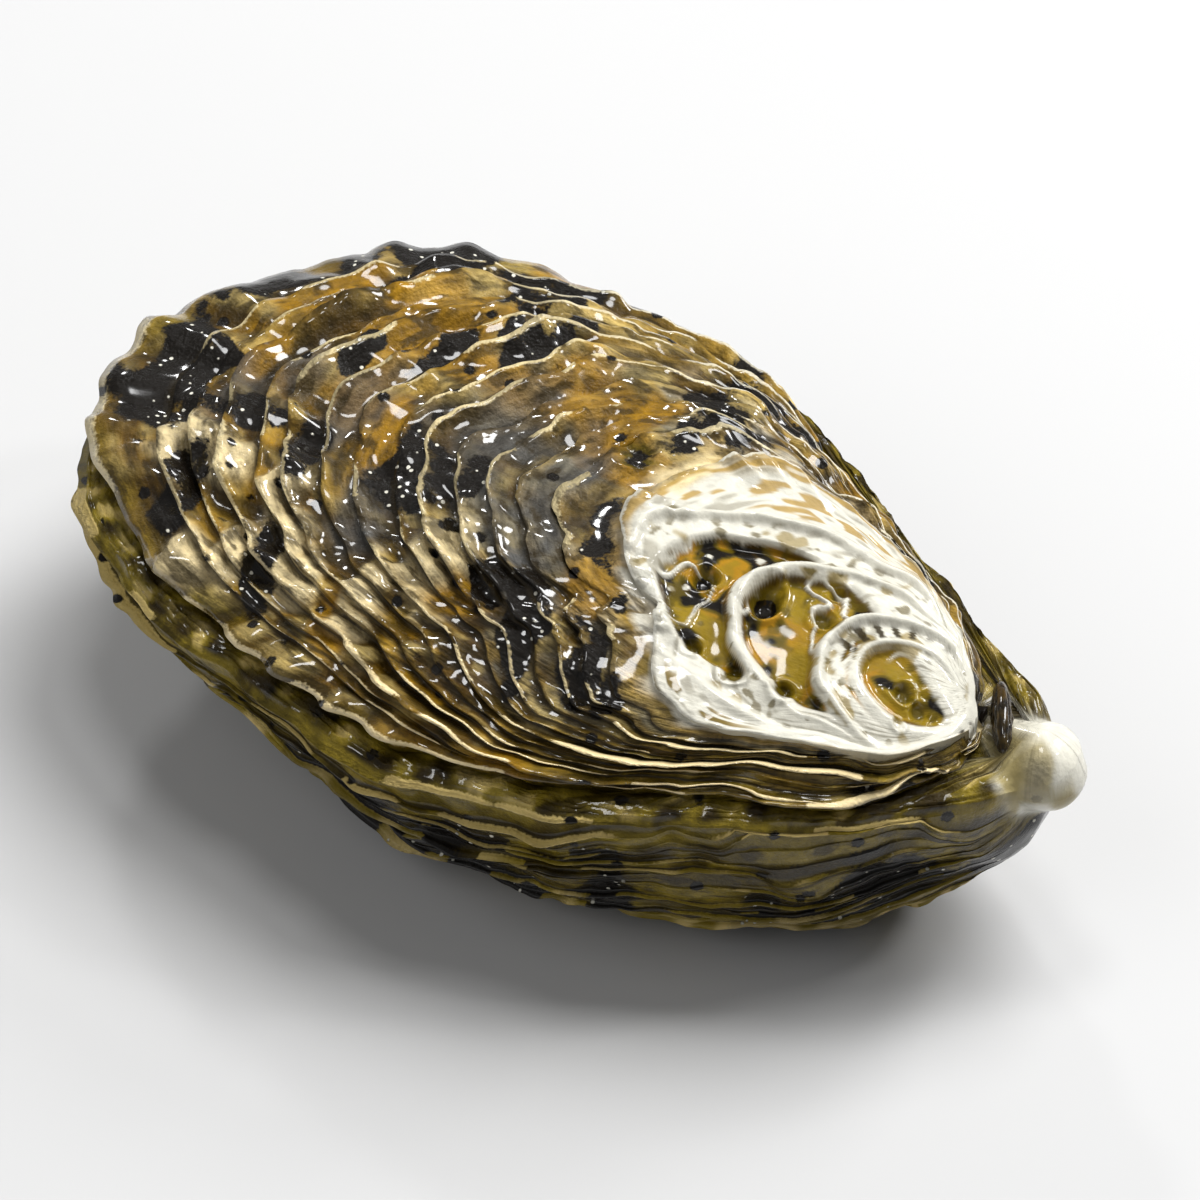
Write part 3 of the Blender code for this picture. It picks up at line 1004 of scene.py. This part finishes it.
def quad_corners(count, columns):
    """Corners of the faces between neighbouring rows, and their places on the map."""
    row, column = np.divmod(np.arange((count - 1) * columns)[:, None], columns)
    corner_rows = row + (0, 1, 1, 0)
    corner_columns = column + (0, 0, 1, 1)
    faces = corner_rows * columns + corner_columns % columns
    return faces, np.stack([corner_columns / columns, (corner_rows + 1) / (count + 1)], -1)


def fan_corners(count, columns, pole):
    """The same for the fan of triangles at the first pole, 0, or at the last, 1."""
    row = pole * (count - 1)
    column = np.arange(columns)[:, None]
    ring = column + ((1, 0) if pole else (0, 1))
    faces = np.hstack([np.full((columns, 1), count * columns + pole), row * columns + ring % columns])
    across = np.hstack([column + 0.5, ring]) / columns
    upwards = np.broadcast_to((pole * (count + 1), row + 1, row + 1), (columns, 3)) / (count + 1)
    return faces, np.stack([across, upwards], -1)


def closed_shell(name, rows, attributes, material):
    """A closed mesh from rows of points, pole to pole, with its map and attributes."""
    size = rows.shape[:2]
    parts = (quad_corners(*size), fan_corners(*size, 0), fan_corners(*size, 1))
    points = np.vstack([rows.reshape(-1, 3), rows[0].mean(0), rows[-1].mean(0)])
    mesh = bpy.data.meshes.new(name)
    mesh.from_pydata(points.tolist(), [], [face for faces, _ in parts for face in faces.tolist()])
    flat_map = np.concatenate([corners.ravel() for _, corners in parts])
    mesh.uv_layers.new(name="OFBake").data.foreach_set("uv", flat_map.astype(np.float32))
    for label, values in attributes.items():
        add_attribute(mesh, label, values)
    mesh.shade_smooth()
    mesh.materials.append(material)
    made = bpy.data.objects.new(name, mesh)
    bpy.context.scene.collection.objects.link(made)
    return made


def add_attribute(mesh, name, values):
    """Numbers or vectors for each point of the grid, and their mean for the two poles."""
    kind, field = ("FLOAT", "value") if values.ndim == 2 else ("FLOAT_VECTOR", "vector")
    rows = values.reshape(*values.shape[:2], -1)
    spread = np.concatenate([rows.ravel(), rows[0].mean(0), rows[-1].mean(0)])
    mesh.attributes.new(name, kind, "POINT").data.foreach_set(field, spread.astype(np.float32))


class Shading:
    """Short names for the nodes that the materials are built from."""

    def __init__(self, name):
        self.material = bpy.data.materials.new(name)
        self.material.use_nodes = True
        self.tree = self.material.node_tree
        self.shader = self.tree.nodes["Principled BSDF"]

    def node(self, kind, inputs, **settings):
        """The outputs of a new node; each input is a value or another node's output."""
        made = self.tree.nodes.new("ShaderNode" + kind)
        for name, value in settings.items():
            setattr(made, name, value)
        for name, value in inputs.items():
            if isinstance(value, bpy.types.NodeSocket):
                self.tree.links.new(value, made.inputs[name])
            else:
                made.inputs[name].default_value = value
        return made.outputs

    def attribute(self, name, output="Fac"):
        return self.node("Attribute", {}, attribute_name=name)[output]

    def place(self):
        return self.node("TexCoord", {})["Object"]

    def noise(self, vector, scale, detail):
        """Noise at a place; scale is how many bumps fit in a metre, or a tuple of that for each direction."""
        if isinstance(scale, tuple):
            vector = self.node("VectorMath", {0: vector, 1: scale}, operation="MULTIPLY")[0]
            scale = 1.0
        return self.node("TexNoise", {"Vector": vector, "Scale": scale, "Detail": detail})["Fac"]

    def math(self, operation, first, second, third=0.0):
        return self.node("Math", {0: first, 1: second, 2: third}, operation=operation)[0]

    def times(self, first, second):
        return self.math("MULTIPLY", first, second)

    def plus(self, base, other, amount):
        """The base with so much of the other added."""
        return self.math("MULTIPLY_ADD", other, amount, base)

    def between(self, value, low, high, to_low=0.0, to_high=1.0):
        inputs = {"Value": value, "From Min": low, "From Max": high, "To Min": to_low, "To Max": to_high}
        return self.node("MapRange", inputs)[0]

    def cells(self, place, shake, scale, size, share):
        """Round dots, scattered: scale is how many fit in a metre, share how many of them are left out."""
        found = self.node("TexVoronoi", {"Vector": place, "Scale": scale})
        away = self.plus(found["Distance"], shake, 0.12)
        chosen = self.between(self.node("SeparateColor", {"Color": found["Color"]})[0], share, share + 0.01)
        return self.times(self.between(away, size + 0.05, size), chosen)

    def mix(self, share, first, second, blend_type="MIX"):
        """Two colours mixed; each is a socket or a plain colour."""
        inputs = {0: share}
        for slot, colour in ((6, first), (7, second)):
            inputs[slot] = (*colour, 1) if isinstance(colour, tuple) else colour
        return self.node("Mix", inputs, data_type="RGBA", blend_type=blend_type)[2]

    def finish(self, colour, height, strength, distance, values):
        """Joins colour and relief to the shader, sets its plain values, and gives the material back."""
        bump = self.node("Bump", {"Height": height, "Strength": strength, "Distance": distance})
        self.tree.links.new(colour, self.shader.inputs["Base Color"])
        self.tree.links.new(bump[0], self.shader.inputs["Normal"])
        for name, value in values.items():
            self.shader.inputs[name].default_value = value
        return self.material


def shell_material(name, roughness, wetness):
    """Wet shell: painted growth bands broken up by grain, crisp lips and spots, painted shade under the lips,
    painted glints on the dark patches, and a thin film of water.
    """
    s = Shading(name)
    place = s.place()
    flow = s.attribute("flow", "Vector")
    old = s.attribute("old")
    grain = s.noise(place, 800, 4)
    fine = s.noise(place, 3200, 2)
    grit = s.math("ADD", grain, fine)
    marble = s.noise(flow, (330, 1100, 900), 4)
    combed = s.between(s.attribute("combed"), 0, 1, 0.25, 1)
    striae = s.math("MULTIPLY_ADD", s.math("SUBTRACT", s.noise(flow, (180, 2200, 900), 3), 0.5), combed, 0.5)

    def ragged(label, low, high, amount):
        """An attribute made crisp between low and high, its edge shaken by the grit."""
        return s.between(s.plus(s.attribute(label), grit, amount), low + amount, high + amount)

    soot = ragged("soot", 0.36, 0.62, 0.5)
    # Painted shade: dark bark colour in the recess under each lip
    under_lip_shade = s.times(ragged("under_lip_shade", 0.3, 0.9, 0.4), 0.85)
    lip = s.times(ragged("lip", 0.5, 0.75, 0.5), s.between(soot, 0, 1, 1.0, 0.65))
    veins = s.times(s.between(marble, 0.46, 0.38), s.between(old, 0, 1, 0.1, 0.75))
    dots = s.times(s.cells(place, fine, 330, 0.22, 0.5), old)
    # Painted glints: tiny pearl-white dots on the dark patches stand in for highlights on the wet shell, and
    # bump it a little
    painted_glints = s.times(s.cells(place, fine, 900, 0.2, 0.45), soot)
    mottle = s.math("SUBTRACT", s.between(s.math("ADD", grain, striae), 0.7, 1.3, 0.3, 1.15), 1.0)
    tone = s.math("MULTIPLY_ADD", mottle, s.between(old, 0, 1, 0.3, 1.0), 1.0)
    colour = s.mix(1.0, s.attribute("paint", "Color"), tone, "MULTIPLY")
    lip_paint = s.attribute("lip_paint", "Color")
    layers = ((veins, BARK), (soot, SOOT), (under_lip_shade, BARK), (lip, lip_paint), (dots, SOOT), (painted_glints, PEARL))
    for share, layer in layers:
        colour = s.mix(share, colour, layer)

    height = s.plus(s.plus(s.plus(grain, striae, 0.7), marble, 0.8), fine, 0.25)
    height = s.times(height, s.between(old, 0, 1, 0.25, 1.0))
    height = s.plus(s.plus(height, dots, -0.6), painted_glints, 0.4)
    film = {"Coat Weight": wetness, "Coat Roughness": 0.09}
    shine = {"Roughness": roughness, "Specular IOR Level": 0.15}
    return s.finish(colour, height, 0.7, 0.5 * MM, {**shine, **film})


def leaf_material():
    """Wet horny leaves: nearly black, and brown only in streaks at their thin edges."""
    s = Shading("wet_ligament")
    place = s.place()
    grain = s.noise(place, 1500, 4)
    streaks = s.noise(place, (900, 300, 4500), 3)
    dark = s.mix(s.between(grain, 0.4, 0.65), SOOT, BARK)
    edge = s.times(s.between(s.attribute("leaf_edge"), 0.75, 1.0), s.between(streaks, 0.45, 0.6))
    colour = s.mix(s.times(edge, 0.6), dark, UMBER)
    height = s.plus(grain, streaks, 0.6)
    film = {"Coat Weight": 0.8, "Coat Roughness": 0.06}
    shine = {"Roughness": 0.3, "Specular IOR Level": 0.1}
    return s.finish(colour, height, 0.6, 0.3 * MM, {**shine, **film})


def hinge_place():
    """Where the seam's own zero lies in the frame, from the ligament's box."""
    low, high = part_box("hinge_ligament")
    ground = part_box("lower_valve")[0].z
    return np.array([(low.x + high.x) / 2 + LIGAMENT_BACK, (low.y + high.y) / 2, ground])


def edge_of(points):
    """The last row of a face in plan, as (back, side)."""
    return np.stack([-points[-1, :, 0], points[-1, :, 1]], -1)


def upper_face(rows):
    """The upper valve's outer face on the given rows: its grid, points and attributes."""
    valve = Valve(1, upper_margin, UPPER_UMBO, DOME, UPPER_LIP)
    grid = Grid(valve, rows, upper_reach, UPPER_SEEDS[0])
    points, facts = grow(grid, UPPER_STEP, upper_relief)
    return grid, points, outer_attributes(grid, facts, paint_upper(grid, facts))


def young_piece(place, material):
    """The young shell near the beak: white, with its rings, hollows and pits, and a thick lip."""
    grid, points, outer = upper_face(young_rows())
    under = []
    for share in YOUNG_UNDERSIDE_ROWS:
        row = grid.valve.base(np.maximum(grid.t[-1] * share, FIRST_ROW), grid.turn[-1])
        row[:, 2] = np.maximum(row[:, 2] - YOUNG_ROOT, CUP_DEPTH + SEAM_GAP)
        under.append(row)
    under = np.array(under)
    rows = np.concatenate([points, under]) + place
    return closed_shell("upper_shell_young", rows, joined(outer, under, PEARL), material)


def old_piece(place, material):
    """The rest of the upper valve, from under the young shell's lip to the margin."""
    hidden = [(age, 0.5, *[0.0] * 6) for age in HIDDEN_AGES]
    lamellae = lamella_rows(UPPER_LINES, YOUNG_AGE - OLD_OVERLAP, UPPER_SEEDS[1], LAMELLA_ROWS)
    grid, points, outer = upper_face(hidden + lamellae)
    sunk = points[: len(hidden), :, 2]
    sunk[:] = np.maximum(sunk - OLD_SINK, CUP_DEPTH + SEAM_GAP)

    def seam(spot, share):
        return seam_height(spot) + SEAM_GAP / 2

    under = seam_rows(grid.valve, edge_of(points), UNDERSIDE_ROWS, seam)
    rows = np.concatenate([points, under]) + place
    return closed_shell("upper_shell_old", rows, joined(outer, under, PALE_OLIVE), material)


def topside_rows(valve, edge):
    """Rows over the lower valve's topside: its sloping shelf with crumbs and fine ridges, then the seam."""
    ray = np.linalg.norm(edge - valve.umbo, axis=1)

    def top(spot, share):
        inwards = (1 - share) * ray
        slope = np.clip(1 - inwards / RIM_SHELF, 0, 1)
        flat = with_zero(spot)
        crumbs = SHELF_CRUMBS[0] * layered(flat, 2.5, 71) + SHELF_CRUMBS[1] * noise(flat, 0.9, 72)
        ridges = np.sin(2 * math.pi * inwards / SHELF_RIDGE + 1.5 * noise(flat, 6, 73))
        shown = smooth(inwards, 0.0, 0.5 * MM) * smooth(spot[:, 0], 5 * MM, 9 * MM)
        relief = (crumbs + SHELF_RIDGE_HEIGHT * ridges) * shown
        return seam_height(spot) - SEAM_GAP / 2 - SHELF_DROP * slope + knob_height(spot) + relief

    shelf = [np.maximum(1 - k * RIM_SHELF / ray, 1 - SHELF_REACH * k / SHELF_ROWS[-1]) for k in SHELF_ROWS]
    inside = [np.full(COLUMNS, share) for share in TOPSIDE_ROWS]
    return seam_rows(valve, edge, [*shelf, *inside], top)


def paint_topside(rows):
    spots = noise(rows, 1.6, 77)
    layers = (
        (PALE_OLIVE, smooth(spots, -0.2, 0.4)),
        (BARK, smooth(-spots, 0.1, 0.5)),
        (CREAM, 0.7 * smooth(spots, 0.35, 0.6)),
    )
    return covered(np.broadcast_to(OLIVE, rows.shape), layers)


def paint_knob(attributes, rows, knob):
    """Turns the knob's part of the attributes to smooth stained pearl."""
    stains = smooth(noise(rows, 3.2, 78) - 0.12 * rows[..., 1] / MM, 0.2, 0.5)
    layers = ((PEARL, knob), (PALE_OLIVE, 0.8 * knob * stains))
    attributes["paint"] = covered(attributes["paint"], layers)
    for label in ("old", "combed", "lip", "soot", "under_lip_shade"):
        attributes[label] = attributes[label] * (1 - knob)


def lower_piece(place, material):
    """The cupped lower valve, its shelf and its knob."""
    valve = Valve(-1, lower_margin, LOWER_UMBO, CUP, LOWER_LIP)
    grid = Grid(valve, lamella_rows(LOWER_LINES, 0.0, LOWER_SEEDS[1], WALL_ROWS), lower_reach, LOWER_SEEDS[0])
    points, facts = grow(grid, LOWER_STEP, lower_relief)
    outer = outer_attributes(grid, facts, paint_lower(grid, facts))
    topside = topside_rows(valve, edge_of(points))
    attributes = joined(outer, topside, paint_topside(topside))
    rows, knob = round_knob(np.concatenate([points, topside]))
    paint_knob(attributes, rows, knob)
    attributes = {label: values[::-1] for label, values in attributes.items()}
    return closed_shell("lower_shell", rows[::-1] + place, attributes, material)


def ligament_piece(material):
    """The hinge ligament: thin dark leaves, stacked between the two beaks and torn at their edges."""
    low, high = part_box("hinge_ligament")
    middle = (low + high) / 2
    thick, long, tall = LIGAMENT_HALF
    share = np.linspace(-0.99, 0.99, LIGAMENT_ROWS)[:, None]
    turn = 2 * math.pi * np.arange(LIGAMENT_COLUMNS) / LIGAMENT_COLUMNS
    along, level, face = np.broadcast_arrays(share * long, np.sin(turn) * tall, np.cos(turn) * thick)
    wave = noise(np.stack([face * 0.3, along, level * 0.5], -1), 2.2, 301)
    leaf = LIGAMENT_LEAVES * (level / tall / 2 + 0.09 * wave)
    edge = np.abs(np.sin(math.pi * leaf)) ** 0.5
    torn = noise(np.stack([np.floor(leaf) * 3 * MM, along, np.sign(face) * MM], -1), 0.9, 303)
    girth = np.sqrt(1 - share**2)
    across = face * girth * (0.62 + (0.28 + 0.14 * torn) * edge)
    x = middle.x + across * math.cos(LIGAMENT_TURN) - along * math.sin(LIGAMENT_TURN)
    y = middle.y + across * math.sin(LIGAMENT_TURN) + along * math.cos(LIGAMENT_TURN)
    points = np.stack([x, y, middle.z + level * girth], -1)
    return closed_shell("ligament_leaves", points, {"leaf_edge": edge}, material)


def add_piece(piece, node):
    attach(piece, "root")
    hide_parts(node)


def add_floor():
    bpy.ops.mesh.primitive_plane_add(size=FLOOR_SIZE)
    floor = bpy.context.object
    floor.name = "floor"
    white = Shading("floor_white")
    white.shader.inputs["Base Color"].default_value = (*FLOOR_WHITE, 1)
    white.shader.inputs["Roughness"].default_value = 0.5
    floor.data.materials.append(white.material)


def add_light(name, place, size, power, mirrored):
    """A round area light; one that isn't mirrored lights the scene but makes no glint on the wet shell."""
    data = bpy.data.lights.new(name, "AREA")
    data.shape = "DISK"
    data.size = size
    data.energy = power
    light = bpy.data.objects.new(name, data)
    light.location = place
    light.visible_glossy = mirrored
    light.rotation_euler = (Vector(LIGHT_TARGET) - Vector(place)).to_track_quat("-Z", "Y").to_euler()
    bpy.context.scene.collection.objects.link(light)


def add_world():
    world = bpy.data.worlds.new("studio")
    world.use_nodes = True
    background = world.node_tree.nodes["Background"]
    background.inputs["Color"].default_value = (1.0, 1.0, 1.0, 1)
    background.inputs["Strength"].default_value = WORLD_LIGHT
    bpy.context.scene.world = world


def add_camera():
    low, high = cad_bounds
    azimuth = math.radians(CAMERA_AZIMUTH)
    elevation = math.radians(CAMERA_ELEVATION)
    level = math.cos(elevation)
    back = Vector((math.sin(azimuth) * level, -math.cos(azimuth) * level, math.sin(elevation)))
    data = bpy.data.cameras.new("camera")
    data.lens = CAMERA_LENS
    camera = bpy.data.objects.new("camera", data)
    camera.location = (low + high) / 2 + back * CAMERA_DISTANCE
    camera.rotation_euler = (-back).to_track_quat("-Z", "Y").to_euler()
    bpy.context.scene.collection.objects.link(camera)
    bpy.context.scene.camera = camera


place = hinge_place()
upper_material = shell_material("upper_wet_shell", 0.35, 1.0)
add_piece(young_piece(place, upper_material), "upper_valve")
add_piece(old_piece(place, upper_material), "upper_valve")
add_piece(lower_piece(place, shell_material("lower_wet_shell", 0.45, 0.6)), "lower_valve")
add_piece(ligament_piece(leaf_material()), "hinge_ligament")
add_floor()
for light in LIGHTS:
    add_light(*light)
add_world()
bpy.context.scene.view_settings.view_transform = "Standard"
add_camera()
